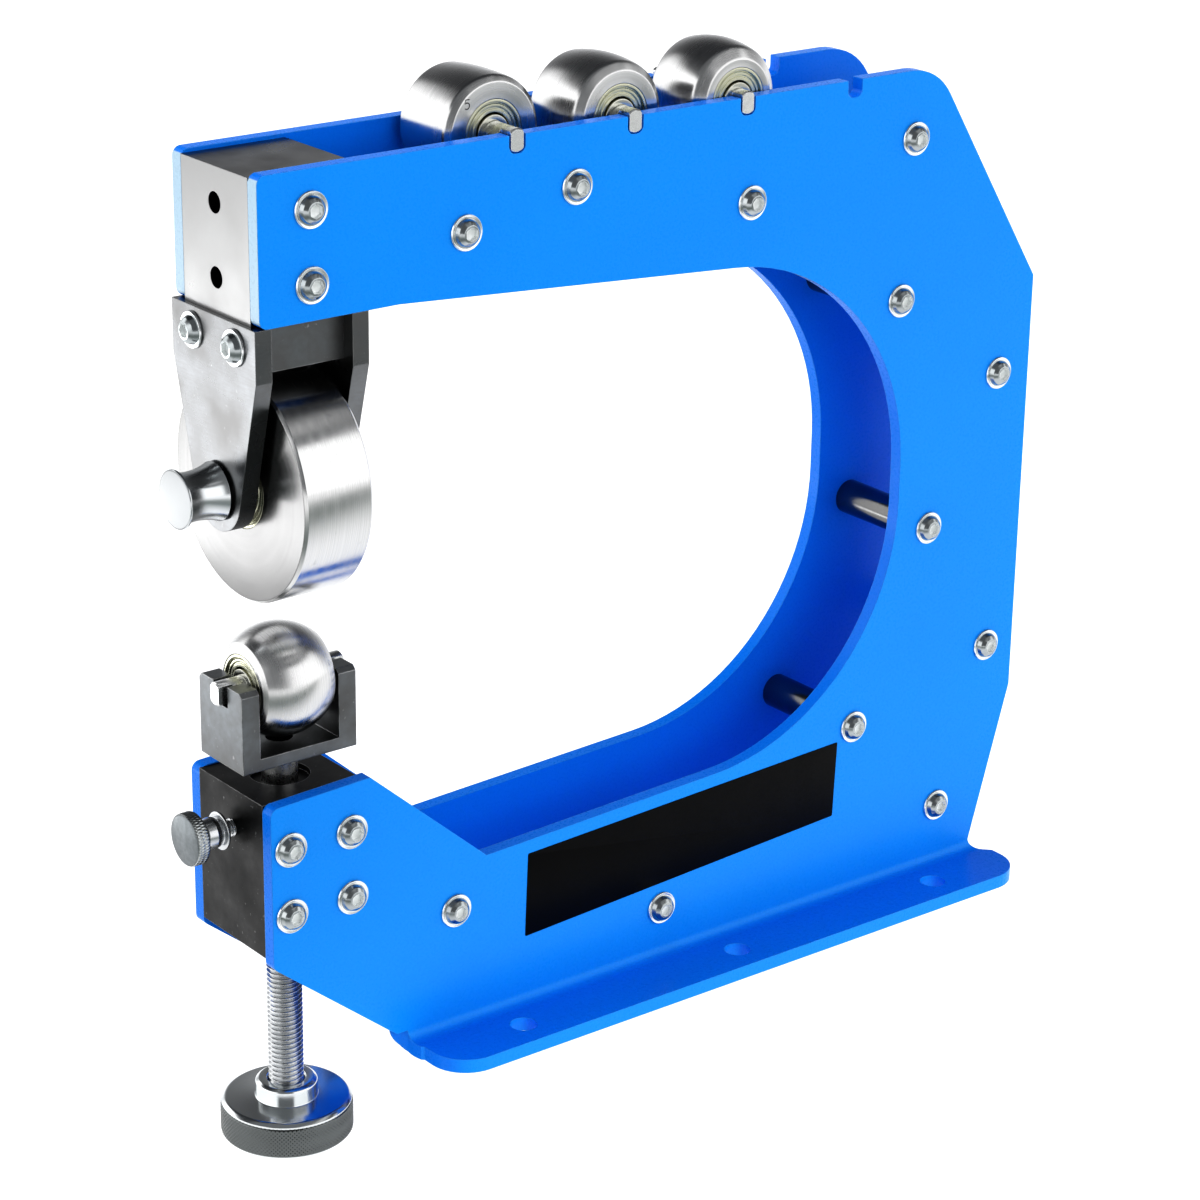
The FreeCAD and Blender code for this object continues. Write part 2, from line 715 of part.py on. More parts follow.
def anvil(name):
    slot = ANVILS[name][0]
    crown = "dims.crown_" + name
    half = "(dims.anvil_width / 2)"
    shoulder = "(%s - dims.anvil_edge)" % half
    sagitta = "(%s - sqrt(%s ^ 2 - %s ^ 2))"
    side = "dims.anvil_diameter / 2 - %s - dims.anvil_edge" % (sagitta % (crown, crown, half))
    rim = "dims.anvil_diameter / 2 - %s" % (sagitta % (crown, crown, shoulder))
    bore = "dims.bearing_outer / 2"
    pocket = "(%s - dims.bearing_width)" % half
    roller = turned("roller", ([
        ("-" + half, bore), ("-" + pocket, bore), ("-" + pocket, "dims.anvil_bore / 2"),
        (pocket, "dims.anvil_bore / 2"), (pocket, bore), (half, bore), (half, side),
        (shoulder, rim), ("-" + shoulder, rim), ("-" + half, side),
    ], {7: (crown, -1)}))
    race = "dims.bearing_race / 2"
    shaft = "dims.axle_diameter / 2"
    outer = ring_pair("bearing_outer", race + " + dims.race_gap", bore, pocket, half)
    inner = ring_pair("bearing_inner", shaft, race, pocket, half)
    end = "(dims.axle_length / 2)"
    axle = turned("axle", ([
        ("-" + end, "0"), (end, "0"), (end, shaft + " - 0.5"), (end + " - 0.5", shaft),
        ("-%s + 0.5" % end, shaft), ("-" + end, shaft + " - 0.5"),
    ], None))
    flats = new_sketch(axle, "XY_Plane")
    start = "(%s - dims.axle_flat_length)" % end
    for low, high in ((start, end + " + 1"), ("-(%s + 1)" % end, "-" + start)):
        outline(flats, rectangle(low, high, "dims.axle_flats / 2", shaft + " + 1"))
        outline(flats, rectangle(low, high, "-(%s + 1)" % shaft, "-dims.axle_flats / 2"))
    cut(axle, flats)
    if slot is None:
        spot = {"x": AXIS, "z": "dims.lower_axis"}
        spin = spot
    else:
        x = "dims.slot_reach + %d * dims.slot_pitch" % slot
        z = "%s + %s + dims.seat_gap" % (SLOT_FLOOR, shaft)
        spot = {"x": x, "z": z, "rotation": TURN_TO_Y}
        spin = dict(spot, y="dims.slide_" + name)
    place(roller, name + "_anvil", **spin)
    place(outer, name + "_bearing_outer_rings", **spin)
    place(inner, name + "_bearing_inner_rings", **spin)
    place(axle, name + "_axle", **spot)


# Lower yoke, stem, adjusting screw and lock

def lower_yoke():
    end = "(dims.yoke_length / 2)"
    wall = "(%s - dims.yoke_cheek)" % end
    floor = "dims.yoke_low + dims.yoke_floor"
    body = new_body("lower_yoke")
    sketch = new_sketch(body, "XZ_Plane")
    outline(sketch, [
        ("-" + end, "dims.yoke_low"), (end, "dims.yoke_low"), (end, "dims.yoke_high"),
        (wall, "dims.yoke_high"), (wall, floor), ("-" + wall, floor), ("-" + wall, "dims.yoke_high"),
        ("-" + end, "dims.yoke_high"),
    ])
    pad(body, sketch, "dims.yoke_width", "Symmetric")
    soften(body, "Chamfer", "dims.yoke_chamfer",
           lambda middle, run: abs(run.x) > 0.9 and near(middle.z, "dims.yoke_high"))
    notch = new_sketch(body, "YZ_Plane")
    outline(notch, rectangle("-dims.yoke_notch / 2", "dims.yoke_notch / 2",
                             "dims.lower_axis - dims.axle_diameter / 2 - dims.seat_gap",
                             "dims.yoke_high + 1"))
    cut(body, notch)
    drill(body, "XY_Plane", [("0", "0")], "dims.stem_spigot")
    place(body, "lower_yoke", AXIS)
    radius = "dims.stem_diameter / 2"
    stem = turned("yoke_stem", ([
        ("dims.stem_low", "0"), (floor, "0"), (floor, "dims.stem_spigot / 2"),
        ("dims.yoke_low", "dims.stem_spigot / 2"), ("dims.yoke_low", radius),
        ("dims.stem_low + 1", radius), ("dims.stem_low", radius + " - 1"),
    ], None))
    place(stem, "yoke_stem", AXIS, rotation=TURN_TO_Z)


def adjusting_screw():
    radius = "dims.thread_diameter / 2"
    top = "dims.stem_low - dims.seat_gap"
    seat = "(dims.collar_top - dims.knob_bore_depth)"
    screw = turned("adjusting_screw", ([
        (seat, "0"), (top, "0"), (top, radius + " - 1"), (top + " - 1", radius), (seat, radius),
    ], None))
    place(screw, "adjusting_screw", AXIS, rotation=TURN_TO_Z)
    face = "(dims.collar_top - dims.collar_height)"
    base = "(%s - dims.hand_knob_height)" % face
    edge = "dims.hand_knob_chamfer"
    rim = "dims.hand_knob / 2"
    knob = turned("hand_knob", ([
        (base, "0"), (seat, "0"), (seat, radius), ("dims.collar_top", radius),
        ("dims.collar_top", "dims.collar_diameter / 2"), (face, "dims.collar_diameter / 2"),
        (face, "%s - %s" % (rim, edge)), ("%s - %s" % (face, edge), rim),
        ("%s + %s" % (base, edge), rim), (base, "%s - %s" % (rim, edge)),
    ], None))
    height = "dims.collar_top - dims.collar_height / 2"
    drill(knob, "XY_Plane", [(height, "0")], "dims.grub_diameter",
          "(dims.collar_diameter - dims.thread_diameter) / 2", "dims.collar_diameter / 2")
    place(knob, "hand_knob", AXIS, rotation=TURN_TO_Z)
    inner = size("dims.thread_diameter") / 2
    outer = size("dims.collar_diameter") / 2 - 0.4
    grub = Part.makeCylinder(size("dims.grub_diameter") / 2, outer - inner, FreeCAD.Vector(0, 0, inner))
    grub = grub.cut(hexagon(size("dims.grub_socket"), outer - 2, outer + 1))
    group("knob_set_screw", [moved(grub, size(AXIS), 0, size(height), TO_NOSE)])


def lock_screw():
    """Knurled thumbscrew and the brass pad that it presses on the stem; zero is on the nose face."""
    face = "(%s - dims.stem_diameter / 2 - dims.seat_gap)" % AXIS
    tip = "(%s - dims.lock_pad - dims.seat_gap)" % face
    thread = "dims.lock_thread / 2"
    flange = "(-dims.lock_gap - dims.lock_flange_thickness)"
    hub = "(-dims.lock_gap - dims.lock_hub_length)"
    head = "(%s - dims.lock_head_length)" % hub
    screw = turned("lock_thumbscrew", ([
        (head, "0"), (tip, "0"), (tip, thread), ("-dims.lock_gap", thread),
        ("-dims.lock_gap", "dims.lock_flange / 2"), (flange, "dims.lock_flange / 2"),
        (flange, "dims.lock_hub / 2"), (hub, "dims.lock_hub / 2"), (hub, "dims.lock_head / 2"),
        (head + " + 0.8", "dims.lock_head / 2"), (head, "dims.lock_head / 2 - 0.8"),
    ], None))
    place(screw, "lock_thumbscrew", z="dims.lock_height")
    pad_piece = turned("lock_pad", bar("0", thread, "%s - dims.lock_pad" % face, face))
    place(pad_piece, "lock_pad", z="dims.lock_height")


side_plate()
upper_block()
lower_block()
spacer_rods()
plate_screws()
yoke_block()
cheek("yoke_cheek_front", "%s - %s + dims.cheek_thickness / 2" % (AXIS, CHEEK_OUT))
cheek("yoke_cheek_rear", "%s + %s - dims.cheek_thickness / 2" % (AXIS, CHEEK_OUT))
cheek_screws()
mount_screws()
upper_wheel()
pull_pin()
for anvil_name in ANVILS:
    anvil(anvil_name)
lower_yoke()
adjusting_screw()
lock_screw()

doc.recompute()
for item in doc.Objects:
    if "Invalid" in item.State or "Error" in item.State:
        raise RuntimeError("%s did not build" % item.Label)
for item in parts:
    if item.Shape.isNull() or not item.Shape.isValid():
        raise RuntimeError("%s has no valid shape" % item.Label)
for item in parts:
    item.Shape.exportStep("parts/%s.step" % item.Label)
    print("%-32s %2d solids %9.0f mm3" % (item.Label, len(item.Shape.Solids), item.Shape.Volume))
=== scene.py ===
import bpy
import math
from mathutils import Matrix, Vector


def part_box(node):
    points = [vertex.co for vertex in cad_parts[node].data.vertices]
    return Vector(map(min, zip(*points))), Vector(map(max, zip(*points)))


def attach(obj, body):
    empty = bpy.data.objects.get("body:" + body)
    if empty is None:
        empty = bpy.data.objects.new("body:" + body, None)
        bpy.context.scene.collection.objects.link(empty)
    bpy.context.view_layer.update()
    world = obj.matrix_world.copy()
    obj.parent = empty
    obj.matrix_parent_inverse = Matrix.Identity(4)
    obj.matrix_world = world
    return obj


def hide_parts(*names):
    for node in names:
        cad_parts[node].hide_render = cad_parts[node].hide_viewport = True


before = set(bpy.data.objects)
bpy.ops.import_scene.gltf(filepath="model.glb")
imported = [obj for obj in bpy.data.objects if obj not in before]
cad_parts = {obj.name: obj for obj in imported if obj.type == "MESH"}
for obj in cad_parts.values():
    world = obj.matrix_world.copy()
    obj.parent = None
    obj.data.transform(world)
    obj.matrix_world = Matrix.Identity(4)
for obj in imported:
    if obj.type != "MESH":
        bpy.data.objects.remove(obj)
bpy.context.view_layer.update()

# Lengths of the object are in mm, those of the studio in metres. X runs from the noses to the
# back, Y from the front plate to the back plate, and Z up from the flanges' undersides.

MM = 0.001
NOSE = -187.0            # X of both noses
AXIS = NOSE + 19.05      # X of the wheel, the working anvil and the adjusting screw
PLATE_FACE = 24.05       # Y of a side plate's outer face
CHEEK_FACE = 20.8        # from the axis to the outer face of a cheek of the upper yoke
WHEEL_Z = 206.4
ANVIL_Z = 138.0
RACK_Z = 309.55          # height of the spare anvils
RACK_X = [NOSE + 96.9 + 47.5 * step for step in range(3)]

FILLET_STEPS = 5
SCREW_SEGMENTS = 48
AXLE_SEGMENTS = 64
BEARING_SEGMENTS = 72
THREAD_COLUMNS = 64
THREAD_ROWS = 14         # in one turn
KNURL_COLUMNS = 6        # on one tooth

# Turns that take a shape about X to another axis
ALONG_X = Matrix.Identity(3)
ALONG_Y = Matrix.Rotation(math.radians(90), 3, "Z")
ALONG_Z = Matrix.Rotation(math.radians(-90), 3, "Y")
TO_FRONT = Matrix.Rotation(math.radians(-90), 3, "Z")
TO_NOSE = Matrix.Rotation(math.radians(180), 3, "Z")
UPRIGHT = Matrix(((0, 1, 0), (0, 0, 1), (1, 0, 0)))     # a bar's outline comes to lie in XY


# Shapes: pairs of vertices and faces, with the faces looking outward

def clamp(value):
    return min(max(value, 0), 1)


def new_object(name, shape, material, sharp=30):
    """Object in the scene; its edges past that many degrees are sharp."""
    verts, faces = shape
    mesh = bpy.data.meshes.new(name)
    mesh.from_pydata([Vector(v) * MM for v in verts], [], faces)
    mesh.validate()
    mesh.shade_smooth()
    mesh.set_sharp_from_angle(angle=math.radians(sharp))
    item = bpy.data.objects.new(name, mesh)
    bpy.context.scene.collection.objects.link(item)
    mesh.materials.append(material)
    return item


def put(shape, spot, turn=ALONG_X):
    """The shape turned about the origin and then moved."""
    verts, faces = shape
    spot = Vector(spot)
    return [turn @ Vector(v) + spot for v in verts], faces


def merge(parts):
    """One shape from several."""
    verts, faces = [], []
    for some, more in parts:
        start = len(verts)
        verts += some
        faces += [tuple(index + start for index in face) for face in more]
    return verts, faces


def rounded(points, closed=False):
    """Outline with fillets: each point is (along, radius) or (along, radius, fillet)."""
    result = []
    count = len(points)
    for index, point in enumerate(points):
        here = Vector(point[:2])
        size = point[2] if len(point) > 2 else 0
        inner = closed or 0 < index < count - 1
        if not size or not inner:
            result.append(tuple(here))
            continue
        before = Vector(points[index - 1][:2]) - here
        after = Vector(points[(index + 1) % count][:2]) - here
        half = before.angle(after) / 2
        before.normalize()
        after.normalize()
        reach = size / math.tan(half)
        centre = here + (before + after).normalized() * size / math.sin(half)
        start = here + before * reach - centre
        end = here + after * reach - centre
        turn = start.angle_signed(end)
        for step in range(FILLET_STEPS + 1):
            spin = Matrix.Rotation(-turn * step / FILLET_STEPS, 2)
            result.append(tuple(centre + spin @ start))
    return result


def mirrored(half, middle=()):
    """Outline from its half at the positive end, with what lies between the two halves."""
    return [(-along, *rest) for along, *rest in half] + list(middle) + half[::-1]


def circle(along, radius, count):
    """Ring of points about X. Its radius is a number, where 0 gives one point, or a function
    of the turn."""
    if radius == 0:
        return [(along, 0, 0)]
    ring = []
    for step in range(count):
        turn = 2 * math.pi * step / count
        size = radius(turn) if callable(radius) else radius
        ring.append((along, size * math.cos(turn), size * math.sin(turn)))
    return ring


def tube(rings, closed=False):
    """Skin over a row of rings; a ring of one point closes an end.

    It faces outward where the rings follow each other toward +X on the outside.
    """
    verts, faces, rows = [], [], []
    for ring in rings:
        rows.append(range(len(verts), len(verts) + len(ring)))
        verts += ring
    pairs = list(zip(rows, rows[1:]))
    if closed:
        pairs.append((rows[-1], rows[0]))
    for one, two in pairs:
        count = max(len(one), len(two))
        for step in range(count):
            nxt = (step + 1) % count
            if len(one) == 1:
                faces.append((one[0], two[nxt], two[step]))
            elif len(two) == 1:
                faces.append((one[step], one[nxt], two[0]))
            else:
                faces.append((one[step], one[nxt], two[nxt], two[step]))
    return verts, faces


def capped(rings):
    """Tube with a flat face over each end."""
    verts, faces = tube(rings)
    count = len(rings[0])
    return verts, faces + [tuple(range(count))[::-1],
                           tuple(range(len(verts) - count, len(verts)))]


def prism(outline, start, end):
    """Bar along X from start to end; its outline runs anticlockwise in the YZ plane."""
    return capped([[(along, *point) for point in outline] for along in (start, end)])


def turned(outline, segments, closed=False):
    """Outline turned about X; a radius of 0 closes an end."""
    rings = [circle(along, radius, segments) for along, radius in rounded(outline, closed)]
    return tube(rings, closed)


def lathe(name, outline, material, spot, turn=ALONG_X, segments=96, closed=False, sharp=30):
    """Object from a turned outline."""
    shape = turned(outline, segments, closed)
    return new_object(name, put(shape, spot, turn), material, sharp)


def relief(start, end, rows, columns, radius, hole=None):
    """Skin about X whose radius is a function of the place along it and the turn.

    With a hole, its ends are closed as far as the hole's radius.
    """
    rings = []
    for row in range(rows + 1):
        along = start + (end - start) * row / rows
        rings.append(circle(along, lambda turn, at=along: radius(at, turn), columns))
    if hole:
        rings = [circle(start, hole, columns), *rings, circle(end, hole, columns)]
    return tube(rings)


def thread(start, end, pitch, crest, root):
    """Right-hand thread about X, its ends tapered and closed but for a pinhole."""
    steep, flat = 1.25, 0.12
    taper, step_down, pinhole = 0.8 * pitch, 0.25, 0.4

    def radius(along, turn):
        phase = (along / pitch - turn / (2 * math.pi)) % 1
        rise = clamp((0.5 - abs(phase - 0.5)) * 2 * steep - flat)
        edge = min(along - start, end - along) / taper
        return root + (crest - root) * rise * clamp(edge) - (step_down if edge < 0.3 else 0)

    rows = int((end - start) / pitch * THREAD_ROWS)
    return relief(start, end, rows, THREAD_COLUMNS, radius, pinhole)


def knurl(start, end, outer, depth, teeth, lean, rows):
    """Diamond-knurled band about X: its teeth lean both ways and fade at its ends."""
    margin, sharpness, step_down = 0.5, 0.8, 0.4 * depth

    def radius(along, turn):
        place = teeth * turn / (2 * math.pi)
        slants = [abs((place + way * along / lean) % 1 - 0.5) * 2 for way in (1, -1)]
        fade = clamp(min(along - start, end - along) / margin)
        rise = min(slants) ** sharpness * fade
        return outer - depth + depth * rise - (0 if fade > 0 else step_down)

    return relief(start, end, rows, teeth * KNURL_COLUMNS, radius)


def ribbon(points, width, depth):
    """Flat stroke of even width along points in the XZ plane, from Y 0 to -depth."""
    lines = [Vector(point) for point in points]
    rings = []
    for index, here in enumerate(lines):
        near = lines[max(index - 1, 0):index + 2]
        runs = [(two - one).normalized() for one, two in zip(near, near[1:])]
        run = sum(runs, Vector((0, 0))).normalized()
        side = Vector((-run.y, run.x)) * width / 2
        left, right = here + side, here - side
        rings.append([(left.x, 0, left.y), (left.x, -depth, left.y),
                      (right.x, -depth, right.y), (right.x, 0, right.y)])
    return capped(rings)


def skin(node):
    """A frame node's own surface, its corners joined."""
    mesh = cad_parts[node].data
    spots, faces = {}, []
    for face in mesh.polygons:
        places = [tuple(round(c / MM, 4) for c in mesh.vertices[index].co)
                  for index in face.vertices]
        corners = [spots.setdefault(place, len(spots)) for place in places]
        if len(set(corners)) == len(corners):
            faces.append(corners)
    return list(spots), faces


def carve(item, cutter):
    """Take the cutter's volume out of an object and drop the cutter."""
    tool = item.modifiers.new("cut", "BOOLEAN")
    tool.object = cutter
    tool.solver = "EXACT"
    bpy.context.view_layer.update()
    shape = item.evaluated_get(bpy.context.evaluated_depsgraph_get())
    item.data = bpy.data.meshes.new_from_object(shape)
    item.modifiers.clear()
    item.data.set_sharp_from_angle(angle=math.radians(30))
    bpy.data.objects.remove(cutter)


# Materials

class Nodes:
    """Short way to write the node tree of a material or of the world."""

    def __init__(self, name, world=None):
        self.owner = world or bpy.data.materials.new(name)
        self.owner.use_nodes = True
        self.tree = self.owner.node_tree
        self.shader = self.tree.nodes["Background" if world else "Principled BSDF"]

    def feed(self, socket, value):
        if isinstance(value, bpy.types.NodeSocket):
            self.tree.links.new(value, socket)
        else:
            socket.default_value = value

    def add(self, kind, settings=None, **inputs):
        node = self.tree.nodes.new("ShaderNode" + kind)
        for key, value in (settings or {}).items():
            setattr(node, key, value)
        for key, value in inputs.items():
            self.feed(node.inputs[key.replace("_", " ")], value)
        return node

    def set(self, **values):
        for key, value in values.items():
            self.feed(self.shader.inputs[key.replace("_", " ")], value)

    def math(self, operation, one, two=0.0):
        node = self.add("Math", {"operation": operation})
        self.feed(node.inputs[0], one)
        self.feed(node.inputs[1], two)
        return node.outputs[0]

    def vector(self, operation, one, two):
        node = self.add("VectorMath", {"operation": operation})
        self.feed(node.inputs[0], one)
        self.feed(node.inputs[1], two)
        return node.outputs["Value" if operation == "DOT_PRODUCT" else "Vector"]

    def split(self, value):
        return self.add("SeparateXYZ", Vector=value).outputs[:]

    def mix(self, factor, one, two):
        node = self.add("Mix", {"data_type": "RGBA"}, Factor=factor)
        self.feed(node.inputs[6], one)
        self.feed(node.inputs[7], two)
        return node.outputs[2]

    def ramp(self, value, low, high, start=0.0, end=1.0):
        node = self.add("MapRange", Value=value, From_Min=low, From_Max=high,
                        To_Min=start, To_Max=end)
        return node.outputs[0]

    def noise(self, scale, detail, where, dims="3D"):
        node = self.add("TexNoise", {"noise_dimensions": dims}, Scale=scale, Detail=detail)
        self.feed(node.inputs["W" if dims == "1D" else "Vector"], where)
        return node.outputs["Fac"]

    def place(self):
        return self.add("TexCoord").outputs["Object"]

    def normal(self):
        return self.add("NewGeometry").outputs["Normal"]


def grey(value, tint=(1, 1, 1)):
    return (value * tint[0], value * tint[1], value * tint[2], 1)


def edges(nodes, radius):
    """Rounded normal and a mask that is 1 along sharp edges."""
    bevel = nodes.add("Bevel", {"samples": 4}, Radius=radius * MM).outputs[0]
    return bevel, nodes.ramp(nodes.vector("DOT_PRODUCT", bevel, nodes.normal()), 0.995, 0.86)


def facing(nodes, axis, sign, low=0.5, high=0.9):
    """Mask that is 1 on faces that look along an axis, or against it."""
    part = nodes.split(nodes.normal())[axis]
    return nodes.ramp(nodes.math("MULTIPLY", part, sign), low, high)


def bumpy(nodes, height, distance, strength, normal=None):
    node = nodes.add("Bump", Height=height, Distance=distance * MM, Strength=strength)
    if normal is not None:
        nodes.feed(node.inputs["Normal"], normal)
    return node.outputs[0]


def painted(name, colour, inside, edge_tone, nose, underside_shade):
    """Powder coat with a fine orange peel, and a tone for each kind of place.

    The tones are for the plates' lit outer faces; painted shade on all other faces, between the
    plates and elsewhere; a paler tone along edges; a painted highlight on the upper nose's ends;
    and painted shade on faces that look down.
    """
    n = Nodes(name)
    where = n.place()
    normal, edge = edges(n, 0.55)
    patch = n.noise(9, 3, where)
    peel = n.noise(900, 2, where)
    x, y, z = n.split(where)
    # Painted shade: only the plates' outer side faces keep colour; every other face, between the
    # plates and elsewhere, gets the darker inside tone.
    outside = n.math("GREATER_THAN", n.math("ABSOLUTE", y), (PLATE_FACE - 0.55) * MM)
    outside = n.math("MULTIPLY", outside, n.math("MAXIMUM", facing(n, 1, -1), facing(n, 1, 1)))
    base = n.mix(outside, inside, colour)
    base = n.mix(n.ramp(patch, 0.3, 0.7, 0.0, 0.06), base, grey(0))
    # Painted highlight: the plates' faces that look to the nose, at the upper nose above 0.2 m,
    # turn pale as if lit strongly from the left.
    high = n.math("MULTIPLY", n.ramp(z, 0.2, 0.21),
                  n.ramp(x, (NOSE + 0.6) * MM, (NOSE + 0.4) * MM))
    base = n.mix(n.math("MULTIPLY", high, facing(n, 0, -1)), base, nose)
    # Painted shade on faces that look down.
    base = n.mix(facing(n, 2, -1, 0.8, 0.95), base, underside_shade)
    # Paler along sharp edges, in patches.
    edge = n.math("MULTIPLY", edge, n.ramp(n.noise(160, 3, where), 0.2, 0.6, 0.25, 0.6))
    n.set(Base_Color=n.mix(edge, base, edge_tone), Roughness=n.ramp(peel, 0.3, 0.7, 0.24, 0.34),
          Normal=bumpy(n, peel, 0.02, 0.2, normal), Specular_IOR_Level=0.2, Coat_Weight=0.03,
          Coat_Roughness=0.2)
    return n.owner


def oxide(name, dark, light, rough, worn, grain=(1, 1, 1), edge_gain=0.8, radius=0.4, front=0.0):
    """Blackened or bare machined steel: fine grain one way, mottling and rubbed edges.

    front is how far faces that look to the nose's side are paler: a painted highlight for the
    strong light that falls on them from the left.
    """
    n = Nodes(name)
    where = n.place()
    normal, edge = edges(n, radius)
    lines = n.noise(420, 4, n.vector("MULTIPLY", where, grain))
    cloud = n.noise(55, 5, where)
    specks = n.noise(650, 2, where)
    tone = n.math("MULTIPLY", n.ramp(cloud, 0.3, 0.72), n.ramp(lines, 0.3, 0.7, 0.55, 1.0))
    base = n.mix(tone, dark, light)
    base = n.mix(n.ramp(specks, 0.7, 0.78, 0.0, 0.35), base, worn)
    # Painted highlight on faces that look to the nose's side.
    if front:
        base = n.mix(n.math("MULTIPLY", facing(n, 0, -1), front), base, grey(0.44))
    rub = n.math("MULTIPLY", edge, n.ramp(n.noise(210, 4, where), 0.35, 0.62, 0.1, edge_gain))
    n.set(Base_Color=n.mix(rub, base, worn), Metallic=1.0,
          Roughness=n.ramp(cloud, 0.3, 0.7, rough + 0.07, rough - 0.05),
          Normal=bumpy(n, lines, 0.01, 0.35, normal))
    return n.owner


def turned_steel(name, centre, axis, tone, rough, half=0.0, face_shade=1.0):
    """Polished steel with turning marks: rings about the axis on faces, bands on the tread.

    Past half from the middle the flat faces get painted shade: their tone is multiplied by that, so
    they mirror the bright light less.
    """
    n = Nodes(name)
    where = n.place()
    parts = n.split(n.vector("SUBTRACT", where, [c * MM for c in centre]))
    one, two = (n.math("POWER", parts[i], 2.0) for i in range(3) if i != axis)
    ring = n.math("ADD", n.math("SQRT", n.math("ADD", one, two)), parts[axis])
    marks = n.noise(3800, 3, ring, "1D")
    wide = n.noise(420, 2, ring, "1D")
    smear = n.noise(36, 4, where)
    scratch = n.noise(240, 5, where)
    base = n.mix(n.ramp(marks, 0.35, 0.65), grey(tone), grey(tone * 0.86))
    base = n.mix(n.ramp(scratch, 0.66, 0.74, 0, 0.3), base, grey(tone * 0.55))
    if half:
        face = n.math("GREATER_THAN", n.math("ABSOLUTE", parts[axis]), (half - 0.1) * MM)
        base = n.mix(face, base, grey(tone * face_shade))
    value = n.math("ADD", n.ramp(marks, 0.3, 0.7, -0.01, 0.01), n.ramp(wide, 0.3, 0.7, -0.02, 0.02))
    value = n.math("ADD", value, n.ramp(smear, 0.3, 0.7, rough - 0.03, rough + 0.06))
    brushed = n.add("Tangent", {"direction_type": "RADIAL", "axis": "XYZ"[axis]})
    n.set(Base_Color=base, Metallic=1.0, Roughness=value, Normal=bumpy(n, marks, 0.004, 0.35),
          Anisotropic=0.65, Anisotropic_Rotation=0.25, Tangent=brushed.outputs[0])
    return n.owner


def bright_metal(name, tone, rough, tint, grime, spots=60, end=None, metal=1.0):
    """Plated or ground metal with faint clouding and paler edges.

    end is the tone of its faces that look to the nose's side, where they differ: painted shade on
    those faces.
    """
    n = Nodes(name)
    where = n.place()
    normal, edge = edges(n, 0.15)
    cloud = n.noise(spots, 4, where)
    fine = n.noise(1400, 2, where)
    base = n.mix(n.ramp(cloud, 0.35, 0.7, 0, grime), grey(tone, tint), grey(tone * 0.72, tint))
    base = n.mix(n.math("MULTIPLY", edge, 0.5), base, grey(min(tone * 1.15, 0.95), tint))
    # Painted shade: faces that look to the nose's side get the darker end tone.
    if end:
        base = n.mix(facing(n, 0, -1, 0.93, 0.97), base, grey(end, tint))
    n.set(Base_Color=base, Metallic=metal, Roughness=n.ramp(cloud, 0.3, 0.7, rough, rough + 0.08),
          Normal=bumpy(n, fine, 0.004, 0.4, normal))
    return n.owner


def vinyl(name, tone):
    """Black film with a fine grain."""
    n = Nodes(name)
    where = n.place()
    fine = n.noise(1300, 3, where)
    cloud = n.noise(28, 3, where)
    n.set(Base_Color=n.mix(n.ramp(cloud, 0.3, 0.7), grey(tone), grey(tone * 2.1)),
          Roughness=n.ramp(fine, 0.3, 0.7, 0.36, 0.5), Normal=bumpy(n, fine, 0.01, 0.35),
          Specular_IOR_Level=0.1)
    return n.owner


# Blue paint with painted shade on inner and downward faces and a painted highlight on the upper
# nose's ends.
BLUE = painted("blue_paint", colour=(0.008, 0.31, 0.92, 1), inside=(0.002, 0.22, 0.85, 1),
               edge_tone=(0.12, 0.46, 0.97, 1), nose=(0.46, 0.62, 0.75, 1),
               underside_shade=(0.002, 0.05, 0.2, 1))
# The upper nose block gets a painted highlight on its faces toward the nose (front=0.6).
NOSE_STEEL = oxide("nose_steel", grey(0.11), grey(0.14, (0.97, 1, 1.03)), 0.3, grey(0.2),
                   grain=(1, 5, 0.4), front=0.6)
BLACK = oxide("black_oxide", grey(0.03), grey(0.075), 0.36, grey(0.5), edge_gain=0.75)
CHEEK = oxide("cheek_oxide", grey(0.17), grey(0.23, (0.96, 1, 1.05)), 0.26, grey(0.4),
              grain=(1, 0.3, 4), edge_gain=0.6)
YOKE = oxide("yoke_steel", grey(0.15), grey(0.25, (0.93, 1, 1.06)), 0.34, grey(0.62),
             edge_gain=1.0, radius=0.5)
ROD = oxide("rod_oxide", grey(0.16), grey(0.24), 0.17, grey(0.4), grain=(1, 6, 1), edge_gain=0.4)
ZINC = bright_metal("zinc_steel", 0.88, 0.16, (0.98, 1, 1.01), 0.3)
AXLE = bright_metal("axle_steel", 0.85, 0.24, (0.99, 1, 1), 0.9, spots=500)
SCREW = bright_metal("thread_steel", 0.66, 0.2, (0.98, 1, 1.02), 0.5)
CHROME = bright_metal("chrome", 0.78, 0.14, (0.97, 1, 1.01), 0.25)
# The spool's face toward the nose is darkened by painted shade (end=0.21).
SPOOL = bright_metal("spool_steel", 0.7, 0.17, (0.97, 1, 1.02), 0.3, end=0.21)
# Painted shade: a darker copy of the thumbscrew's steel for its disc, standing in for the darker
# surroundings it mirrors.
SHADED_LOCK = bright_metal("lock_steel_painted_shade", 0.27, 0.4, (0.93, 1, 1.04), 0.6, spots=500)
# Painted highlight: a pale, half-metal tone in the screws' hex sockets, standing in for the light
# their flat bottoms mirror.
SOCKET_HIGHLIGHT = bright_metal("socket_painted_highlight", 0.9, 0.3, (0.97, 1, 1.0), 0.4, spots=500, metal=0.45)
